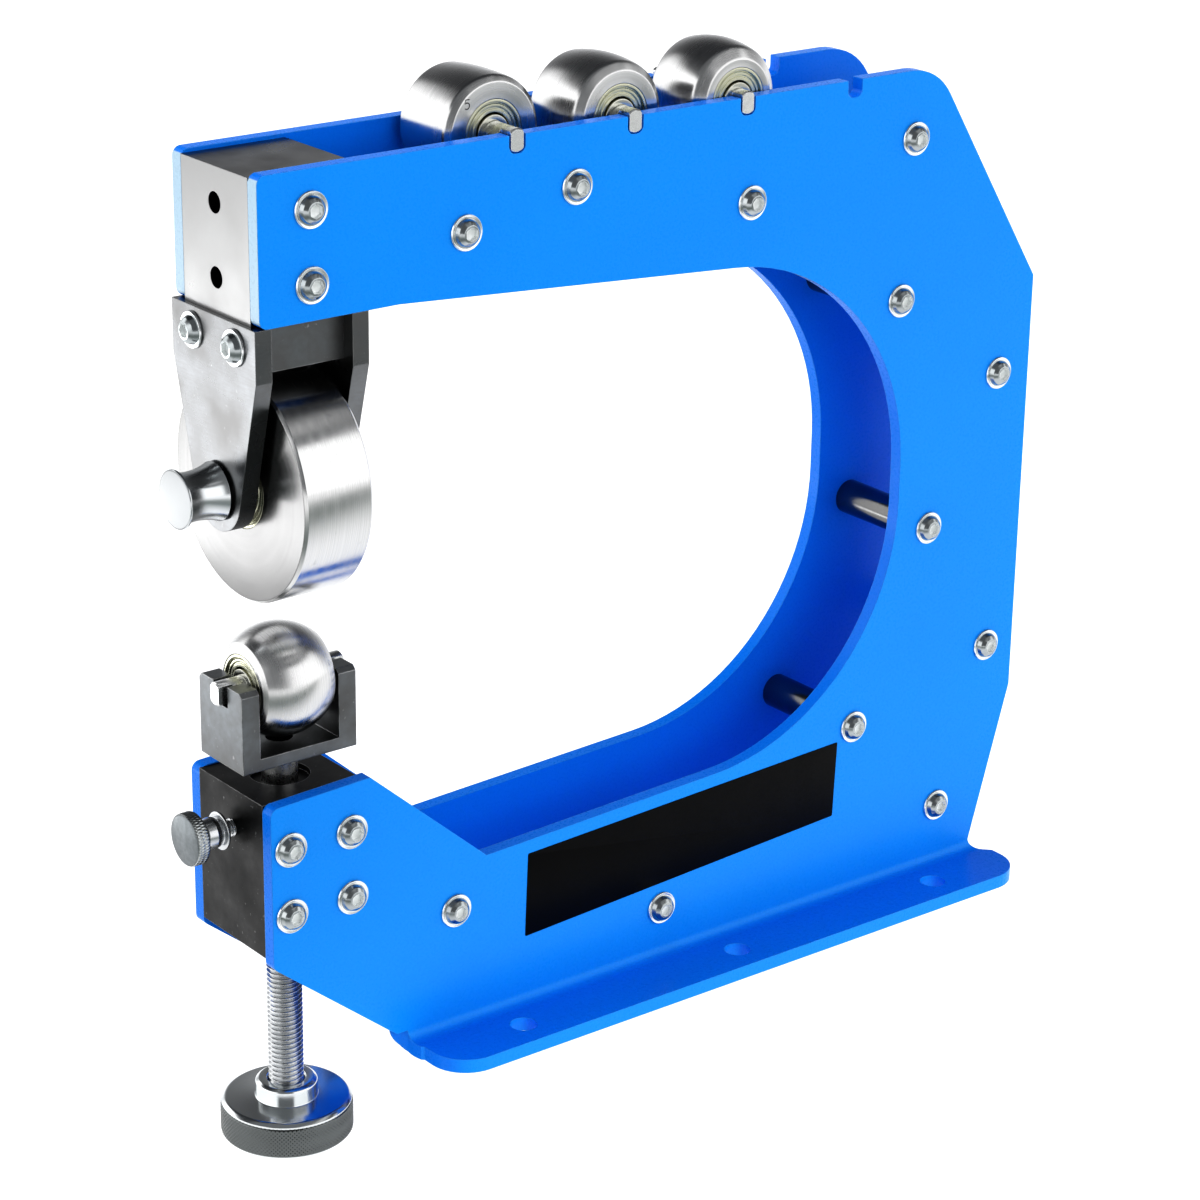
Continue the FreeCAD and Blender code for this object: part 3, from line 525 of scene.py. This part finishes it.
# Painted shade: the hand knob's knurled rim is a dark copy of its chrome, standing in for the dark
# surroundings it mirrors.
SHADED_KNURL = bright_metal("knurled_steel_painted_shade", 0.17, 0.12, (0.94, 1, 1), 0.5)
EDGE = bright_metal("lock_rim_steel", 0.5, 0.24, (0.96, 1, 1), 0.4)
DOME = bright_metal("screw_dome", 0.5, 0.16, (0.94, 1, 1.02), 0.5)
SHIELD = bright_metal("bearing_shield", 0.68, 0.24, (1.0, 1.0, 0.80), 0.4)
RING = bright_metal("bearing_ring", 0.66, 0.2, (1.0, 1.0, 0.9), 0.4)
BRASS = bright_metal("brass", 0.7, 0.28, (1.0, 0.78, 0.36), 0.5)
LABEL = vinyl("label_vinyl", 0.002)


# The frame's own nodes keep their shape and get their finish

FINISH = {
    "upper_nose_block": NOSE_STEEL, "lower_nose_block": BLACK, "frame_spacers": ROD,
    "upper_yoke_block": YOKE, "yoke_cheek_front": CHEEK, "yoke_cheek_rear": CHEEK,
    "yoke_mount_screws": BLACK, "wheel_washers": ZINC, "wheel_pin": AXLE,
    "yoke_stem": AXLE, "knob_set_screw": BLACK, "lock_pad": BRASS,
}
for node, material in FINISH.items():
    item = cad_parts[node]
    for slot in item.material_slots:
        slot.material = material


def dress(item, body, *nodes, slot=None):
    """Say which body a new object rides on and which nodes of the frame it replaces."""
    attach(item, body)
    if nodes:
        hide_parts(*nodes)


# Side plates: the frame's own, with the flanges' toes cut back as the chin's slope runs out

TOE = [(-138.8, -18), (-150, -18), (-150, -31.5), (-132.6, -31.5), (-134.3, -24.0),
       (-136.0, -21.4), (-138.8, -18.9)]     # what is cut from the front toe, in XY
TOE_FROM, TOE_TO = -1, 9                     # Z of the cut's ends
BACK_TOE = [(x, -y) for x, y in reversed(TOE)]
for node, outline in (("side_plate_front", TOE), ("side_plate_back", BACK_TOE)):
    plate = new_object(node.replace("side_plate", "web"), skin(node), BLUE)
    cut = put(prism(outline, TOE_FROM, TOE_TO), (0, 0, 0), UPRIGHT)
    carve(plate, new_object("cutter", cut, BLUE))
    dress(plate, "frame", node, slot="blue_paint")


# Screws: a pressed flange, a raised button and a hex socket

def hexagon(size):
    """Radius of a hexagon as a function of the turn; the size is from its middle to a flat."""
    def radius(turn):
        return size / math.cos((turn + math.pi / 6) % (math.pi / 3) - math.pi / 6)
    return radius


def screw_shapes():
    """The flange with its shank, the button and the socket, each with its metal."""
    flange = [(-13.5, 0), (-14, 2.6), (-13.4, 3.0), (0, 3.0), (0, 6.0, 0.12), (0.5, 6.1, 0.2),
              (0.98, 5.8, 0.2), (0.8, 5.1, 0.2), (0.8, 0)]
    button = [(0.7, 0), (0.7, 4.9), (1.05, 4.75, 0.2), (2.3, 4.1, 1.2), (3.35, 2.9, 0.5),
              (3.38, 2.35)]
    top, floor_middle = 3.4, 1.5
    mouth, wall, foot = (circle(along, hexagon(size), SCREW_SEGMENTS)
                         for along, size in ((top, 2.12), (top - 0.15, 2.0), (1.9, 2.0)))
    rings = [circle(along, radius, SCREW_SEGMENTS) for along, radius in rounded(button)]
    # The sockets' material is a painted highlight.
    return {"flanges": (turned(flange, SCREW_SEGMENTS), ZINC),
            "buttons": (tube(rings + [mouth]), DOME),
            "sockets": (tube([mouth, wall, foot, circle(floor_middle, 0, 1)]), SOCKET_HIGHLIGHT)}


SCREW_SHAPES = screw_shapes()


def screws(label, places, node):
    """A set of screws, each turned its own way, as one object for each part of their shape."""
    for part, (shape, material) in SCREW_SHAPES.items():
        parts = []
        for index, (spot, turn) in enumerate(places):
            spin = Matrix.Rotation(math.radians(37 * index % 60), 3, "X")
            parts.append(put(shape, spot, turn @ spin))
        item = new_object("screw_%s_%s" % (part, label), merge(parts), material, 32)
        dress(item, "frame", node)


# Places of the plates' screws, from the nose and up from the bench
SPACERS = [
    (76.9, 282.9), (120.6, 291.5), (194.6, 275.5), (268.4, 287.5), (264.9, 230.0), (314.8, 194.8),
    (283.7, 141.5), (316.3, 88.2), (250.9, 71.2), (294.7, 28.3), (162.1, 23.6), (72.6, 48.4),
]
BLOCK_X, UPPER_BLOCK_Z, LOWER_BLOCK_Z = 19.05, 286.95, 77.2     # the nose blocks' middles
SPREAD = 11.8                                                   # from there to a screw
BLOCK_SCREWS = [(BLOCK_X, UPPER_BLOCK_Z + SPREAD * up) for up in (-1, 1)]
BLOCK_SCREWS += [(BLOCK_X + SPREAD * along, LOWER_BLOCK_Z + SPREAD * up)
                 for along in (-1, 1) for up in (-1, 1)]
for label, y, turn in (("front", -PLATE_FACE, TO_FRONT), ("back", PLATE_FACE, ALONG_Y)):
    spots = [((NOSE + x, y, z), turn) for x, z in SPACERS + BLOCK_SCREWS]
    screws(label, spots, "plate_screws_" + label)

CHEEK_SCREW_Y, CHEEK_SCREW_Z = 12.2, 255.95
spots = [((AXIS + CHEEK_FACE * way, CHEEK_SCREW_Y * side, CHEEK_SCREW_Z), turn)
         for way, turn in ((-1, TO_NOSE), (1, ALONG_X)) for side in (-1, 1)]
screws("cheeks", spots, "cheek_screws")


# Bearings

def bearing(label, body, inner_body, spot, turn, half, bore, race, outer, width):
    """Both bearings of a roller: outer rings with pressed shields, and inner rings.

    half is from the roller's middle to its face; bore, race and outer are the radii of the
    inner ring's hole, the shield's hole and the outer ring.
    """
    face, deep = half - 0.02, half - width
    step = (outer - race) / 10
    # The shield's folds: depth below the face, steps out from the race, fillet
    folds = [(0, 7.9, 0.1), (0.15, 7.5, 0.15), (0.9, 7.2, 0.1), (0.9, 6.6, 0.1), (0.5, 6.0, 0.1),
             (0.5, 4.4, 0.1), (0.85, 4.0, 0.1), (0.85, 3.0, 0.1), (0.5, 2.6, 0.1)]
    ring = [(deep, outer - 0.05), (face, outer - 0.05, 0.3)]
    ring += [(face - depth, race + steps * step, fillet) for depth, steps, fillet in folds]
    ring += [(face - 0.5, race + 0.25, 0.1), (face - 0.9, race), (deep, race)]
    core = [(deep, race - 0.45), (face, race - 0.45, 0.3), (face, bore, 0.25), (deep, bore)]
    for name, outline, material, rider, node in (
            ("_shields", ring, SHIELD, body, "_bearing_outer_rings"),
            ("_inner_races", core, RING, inner_body, "_bearing_inner_rings")):
        shape = turned(outline, BEARING_SEGMENTS, True)
        both = merge([put(shape, spot, turn @ way) for way in (ALONG_X, TO_NOSE)])
        item = new_object(label + name, both, material, 40)
        dress(item, rider, label + node, slot="bearing_steel")


# Upper wheel

WHEEL_SPOT = (AXIS, 0, WHEEL_Z)
WHEEL_HALF = 12.7
WHEEL_BORE = 14.0
# The wheel's flat faces get painted shade (their tone times 0.31).
WHEEL_STEEL = turned_steel("wheel_steel", WHEEL_SPOT, 0, 0.71, 0.2, half=WHEEL_HALF, face_shade=0.31)
wheel = lathe("wheel_rim", mirrored([
    (4.7, 12.0), (4.7, WHEEL_BORE), (WHEEL_HALF, WHEEL_BORE), (WHEEL_HALF, 36.9),
    (12.62, 37.3, 0.25), (11.7, 38.1, 0.5),
]), WHEEL_STEEL, WHEEL_SPOT, segments=256, closed=True)
dress(wheel, "upper_wheel", "upper_wheel", slot="polished_steel")
bearing("wheel", "upper_wheel", "frame", WHEEL_SPOT, ALONG_X, WHEEL_HALF, 6.06, 8.95, WHEEL_BORE, 8)


# Anvils

def axle(label, spot, turn, body):
    """Round bar with two flats on each end, 5 mm across."""
    end, flats_from, radius, bevel, flat = 24, 18.8, 4, 0.5, 2.5
    rings = []
    for along, size, limit in mirrored([
            (end, radius - bevel, flat), (end - bevel, radius, flat),
            (flats_from, radius, flat), (flats_from, radius, radius)]):
        rings.append([(x, min(max(y, -limit), limit), z)
                      for x, y, z in circle(along, size, AXLE_SEGMENTS)])
    bar = new_object(label + "_bar", put(capped(rings), spot, turn), AXLE)
    dress(bar, body, label + "_axle", slot="axle_steel")


def anvil(label, crown, shoulder, spot, turn, axis, body, inner_body):
    """Roller with its bearings; crown is its profile's radius, shoulder the edges' rounding."""
    half, top, bore, steps = 13.75, 19.05, 11.0, 40
    edge = half - shoulder
    start = edge - 0.6 * shoulder

    def height(along):
        return top - (crown - math.sqrt(crown ** 2 - along ** 2))

    flank = [(5, 8.0), (5, bore), (half, bore, 0.2),
             (half, height(half) - shoulder, 0.55 * shoulder), (edge, height(edge), 1.1 * shoulder)]
    tread = [-start + 2 * start * step / steps for step in range(steps + 1)]
    outline = mirrored(flank, [(along, height(along)) for along in tread])
    steel = turned_steel(label + "_steel", spot, axis, 0.70, 0.24)
    roller = lathe(label + "_roller", outline, steel, spot, turn, 160, True, 25)
    dress(roller, body, label + "_anvil", slot="polished_steel")
    bearing(label, body, inner_body, spot, turn, half, 4.0, 6.45, bore, 7)


ANVIL_SPOT = (AXIS, 0, ANVIL_Z)
anvil("working", 20.3, 1.0, ANVIL_SPOT, ALONG_X, 0, "working_anvil", "anvil_yoke")
axle("working", ANVIL_SPOT, ALONG_X, "anvil_yoke")

# The spares: place across the rack, crown radius and shoulder
SPARES = (("spare_a", 2.3, 127, 1.8), ("spare_b", -2.5, 58, 2.2), ("spare_c", -5.1, 40, 2.8))
for (label, slide, crown, shoulder), x in zip(SPARES, RACK_X):
    anvil(label, crown, shoulder, (x, slide, RACK_Z), ALONG_Y, 1, label + "_anvil", label + "_axle")
    axle(label, (x, 0, RACK_Z), ALONG_Y, label + "_axle")


# Lower yoke: a U with its top edges taken off and a notch in each cheek that takes the round axle

def lower_yoke():
    low, high = (Vector(corner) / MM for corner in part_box("lower_yoke"))
    half, top, chamfer = high.y, high.z, 1.5
    past = 1                                  # how far a cutter reaches past a face
    cheek_gap, web, notch_half, notch_drop = 15.15, 4.2, 4.2, 4.05
    block = [(-half, low.z), (half, low.z), (half, top - chamfer), (half - chamfer, top),
             (chamfer - half, top), (-half, top - chamfer)]
    yoke = new_object("yoke_block", prism(block, low.x, high.x), YOKE)
    for across, foot, reach in ((half + past, low.z + web, cheek_gap),
                                (notch_half, ANVIL_Z - notch_drop, 25)):
        outline = [(-across, foot), (across, foot), (across, top + past), (-across, top + past)]
        carve(yoke, new_object("cutter", prism(outline, AXIS - reach, AXIS + reach), YOKE))
    dress(yoke, "anvil_yoke", "lower_yoke", slot="yoke_steel")


lower_yoke()


# Size number on the first spare anvil's side

FIVE = [(0.95, 1.55), (-0.65, 1.55), (-0.8, 0.25), (-0.3, 0.55), (0.35, 0.5), (0.85, 0.05),
        (0.9, -0.6), (0.55, -1.25), (-0.1, -1.5), (-0.85, -1.25)]
number = new_object("size_number", put(ribbon(FIVE, 0.34, 0.03), (-100.5, -11.44, 320.0)), BLACK)
dress(number, "spare_a_anvil", slot="black_oxide")


# Pull knob on the wheel's pin: a spool with two flat ends

def waist():
    """Shallow arc from the front disc to the rear lip."""
    front, back, radius, steps = Vector((-14.5, 8.5)), Vector((-0.9, 9.7)), 22, 30
    chord = back - front
    out = Vector((-chord.y, chord.x)).normalized()
    middle = (front + back) / 2 + out * math.sqrt(radius ** 2 - (chord.length / 2) ** 2)
    places = [front.x + 13.3 * step / steps for step in range(steps + 1)]
    return [(along, middle.y - math.sqrt(radius ** 2 - (along - middle.x) ** 2))
            for along in places]


spool = lathe("spool_knob", [
    (-15.6, 0), (-15.58, 9.0), (-15.5, 9.5, 0.15), (-15.2, 9.7, 0.15), (-14.7, 9.66, 0.15),
    (-14.52, 9.3, 0.15), *waist(), (-1.0, 9.66, 0.1), (-0.92, 9.3, 0.1), (-0.92, 6.0),
], SPOOL, (AXIS - CHEEK_FACE, 0, WHEEL_Z), segments=128)
dress(spool, "pull_pin", "pull_knob", slot="chrome")


# Adjusting screw and hand knob, about the vertical axis

SCREW_SPOT = (AXIS, 0, 0)
M12 = {"pitch": 1.75, "crest": 6.0, "root": 4.95}
screw_shape = thread(-23.9, 73.9, **M12)
screw = new_object("adjusting_thread", put(screw_shape, SCREW_SPOT, ALONG_Z), SCREW, 70)
dress(screw, "adjuster", "adjusting_screw", slot="thread_steel")

knob = lathe("knob_disc", [
    (-28.4, 0), (-28.4, 20.4, 0.4), (-27.2, 21.9, 0.3), (-26.9, 21.9), (-16.6, 21.9),
    (-15.6, 22.3, 0.3), (-14.4, 20.9, 1.4), (-14.4, 10.6, 0.4), (-8.8, 10.6, 0.9),
    (-7.9, 9.3, 0.5), (-7.9, 6.8, 0.2), (-8.6, 6.05), (-23.9, 6.05), (-23.9, 0),
], CHROME, SCREW_SPOT, ALONG_Z, 128)
dress(knob, "adjuster", "hand_knob", slot="chrome")
# The knurled rim's steel carries painted shade.
rim_shape = knurl(-26.9, -16.4, 22.6, 0.42, 96, 1.5, 44)
rim = new_object("knob_rim", put(rim_shape, SCREW_SPOT, ALONG_Z), SHADED_KNURL, 80)
dress(rim, "adjuster", slot="chrome")


# Lock thumbscrew: knurled disc, turned neck with a ball, and its thread

LOCK_SPOT = (NOSE, 0, 90)
M6 = {"pitch": 1.0, "crest": 3.0, "root": 2.45}
# The disc's steel carries painted shade.
disc = lathe("lock_disc", [
    (-17.9, 0), (-17.9, 8.0), (-17.6, 8.5, 0.2), (-17.2, 8.6), (-13.5, 8.6), (-13.2, 8.4, 0.2),
    (-13.2, 0),
], SHADED_LOCK, LOCK_SPOT, sharp=40)
dress(disc, "lock_screw", slot="chrome")
head = lathe("lock_head", [
    (-13.1, 0), (-13.1, 4.4, 0.3),
    (-12.0, 4.0, 0.5), (-10.9, 4.9, 0.8), (-8.0, 5.4, 1.0), (-6.1, 5.1, 0.6), (-5.6, 4.3, 0.2),
    (-5.2, 4.6), (-5.2, 6.1, 0.2), (-4.9, 6.5, 0.2), (-4.3, 6.5, 0.2), (-4.0, 6.1, 0.2),
    (-4.0, 2.4),
], SCREW, LOCK_SPOT, sharp=40)
dress(head, "lock_screw", "lock_thumbscrew", slot="chrome")
band_shape = knurl(-17.6, -13.3, 9.0, 0.3, 54, 3.2, 24)
band = new_object("lock_knurl", put(band_shape, LOCK_SPOT), EDGE, 80)
dress(band, "lock_screw", slot="chrome")
stud = new_object("lock_thread", put(thread(-4.2, 8.9, **M6), LOCK_SPOT), SCREW, 70)
dress(stud, "lock_screw", slot="chrome")


# Bare label on the front plate

def label_shape():
    """Thin film with round corners and a soft edge; its places are from the nose and up."""
    corners = [(101.9, 30.0), (242.3, 37.8), (243.5, 66.8), (103.0, 60.9)]
    middle = Vector((172.7, 48.9))
    radius, steps = 0.6, 4
    flat = []
    for index, corner in enumerate(corners):
        here = Vector(corner)
        before = (Vector(corners[index - 1]) - here).normalized() * radius
        after = (Vector(corners[(index + 1) % 4]) - here).normalized() * radius
        for t in (step / steps for step in range(steps + 1)):
            flat.append(here + before * (1 - t) ** 2 + after * t ** 2)
    rings = []
    for lift, inset in ((0, 0), (0.15, 0), (0.2, 0.15)):
        places = [point + (middle - point).normalized() * inset for point in flat]
        rings.append([(NOSE + place.x, -PLATE_FACE - lift, place.y) for place in places])
    return capped(rings)


dress(new_object("plain_label", label_shape(), LABEL, 40), "frame", slot="black_oxide")


# Floor, light and camera, in metres

RIGHT = Vector((0.78919, -0.61399, 0.01369))     # the camera's own axes
DOWN = Vector((-0.20881, -0.28922, -0.93421))
AHEAD = Vector((0.57756, 0.73441, -0.35646))
CAMERA_SPOT = (-0.7175, -0.8672, 0.5563)
FOCAL, PICTURE, SENSOR = 3403.1, 1200, 36        # pixels, pixels, mm


def floor():
    """Light table under the object, with a dull grey band before it that the metal mirrors."""
    n = Nodes("floor")
    where = n.place()
    x, y, _ = n.split(where)
    away = n.math("ADD", n.math("MULTIPLY", x, 0.618), n.math("MULTIPLY", y, 0.786))
    near = n.math("MULTIPLY", n.ramp(away, -0.16, -0.36), n.ramp(away, -1.2, -0.5))
    white = n.mix(n.noise(6, 3, where), grey(0.28), grey(0.31))
    n.set(Base_Color=n.mix(near, white, (0.34, 0.37, 0.355, 1)), Roughness=0.7,
          Emission_Color=grey(1), Specular_IOR_Level=0.1,
          Emission_Strength=n.math("MULTIPLY", n.math("SUBTRACT", 1.0, near), 0.76))
    bpy.ops.mesh.primitive_plane_add(size=30, location=(0, 0, -0.0292))
    item = bpy.context.object
    item.name = "floor"
    item.data.materials.append(n.owner)


def area(name, spot, rotation, width, height, power, mirrored_in_metal=False):
    light = bpy.data.lights.new(name, "AREA")
    light.shape = "RECTANGLE"
    light.size = width
    light.size_y = height
    light.energy = power
    item = bpy.data.objects.new(name, light)
    item.location = spot
    item.rotation_euler = rotation
    item.visible_camera = False
    item.visible_glossy = mirrored_in_metal
    bpy.context.scene.collection.objects.link(item)


def studio():
    """Dim room with a pale horizon behind the object, a white board at the left, and a wide and
    a narrow softbox at the front right."""
    world = bpy.data.worlds.new("studio")
    bpy.context.scene.world = world
    n = Nodes("studio", world)
    x, y, z = n.split(n.add("TexCoord").outputs["Generated"])
    level = n.math("SUBTRACT", 1.0, n.math("MULTIPLY", z, z))
    level = n.math("SQRT", n.math("MAXIMUM", level, 0.0004))

    def toward(bearing, inside, outside):
        """Mask that is 1 up to inside degrees from a bearing and 0 past outside."""
        turn = math.radians(bearing)
        along = n.math("ADD", n.math("MULTIPLY", x, math.cos(turn)),
                       n.math("MULTIPLY", y, math.sin(turn)))
        return n.ramp(n.math("DIVIDE", along, level), math.cos(math.radians(outside)),
                      math.cos(math.radians(inside)))

    def band(low, high, soft):
        """Mask that is 1 between two elevations."""
        bottom, top = math.sin(math.radians(low)), math.sin(math.radians(high))
        return n.math("MULTIPLY", n.ramp(z, bottom - soft, bottom), n.ramp(z, top + soft, top))

    rise = n.tree.nodes.new("ShaderNodeValToRGB")
    n.feed(rise.inputs[0], n.ramp(z, 0.0, 0.7))
    steps = rise.color_ramp.elements
    steps[0].color = (0.95, 0.96, 0.97, 1)
    steps[1].color = (0.05, 0.052, 0.056, 1)
    for where, value in ((0.14, 0.72), (0.3, 0.46), (0.5, 0.34), (0.67, 0.16), (0.84, 0.08)):
        steps.new(where).color = grey(value, (1, 1.01, 1.03))
    sky = n.mix(toward(60, 85, 100), (0.17, 0.175, 0.18, 1), rise.outputs[0])
    left, right = toward(150, 50, 60), toward(-57, 38, 42)
    for side, across, value in ((left, band(-20, 33, 0.08), 1.25),
                                (right, band(-20, 37, 0.03), 1.15),
                                (right, band(48, 54, 0.02), 0.5)):
        sky = n.mix(n.math("MULTIPLY", side, across), sky, grey(value))
    n.set(Color=sky, Strength=1.0)


floor()
studio()
for name, spot, target, width, height, power in (
        ("softbox_front", (-0.35, -1.8, 0.9), (0.0, 0, 0.15), 1.2, 0.9, 7),
        ("softbox_top", (-0.1, 0.3, 1.7), (0.0, 0, 0.1), 1.6, 1.2, 11)):
    look = (Vector(target) - Vector(spot)).to_track_quat("-Z", "Y").to_euler()
    area(name, spot, look, width, height, power)
area("light_table_left", (-0.681, 0.629, -0.028), (math.pi, 0, math.radians(128)), 0.7, 0.6, 2.6,
     mirrored_in_metal=True)

camera_data = bpy.data.cameras.new("camera")
camera_data.sensor_width = SENSOR
camera_data.lens = SENSOR * FOCAL / PICTURE
camera = bpy.data.objects.new("camera", camera_data)
bpy.context.scene.collection.objects.link(camera)
axes = Matrix((RIGHT, -DOWN, -AHEAD)).transposed()
camera.matrix_world = Matrix.Translation(CAMERA_SPOT) @ axes.to_4x4()
bpy.context.scene.camera = camera
bpy.context.scene.view_settings.view_transform = "Standard"
bpy.context.scene.view_settings.look = "High Contrast"
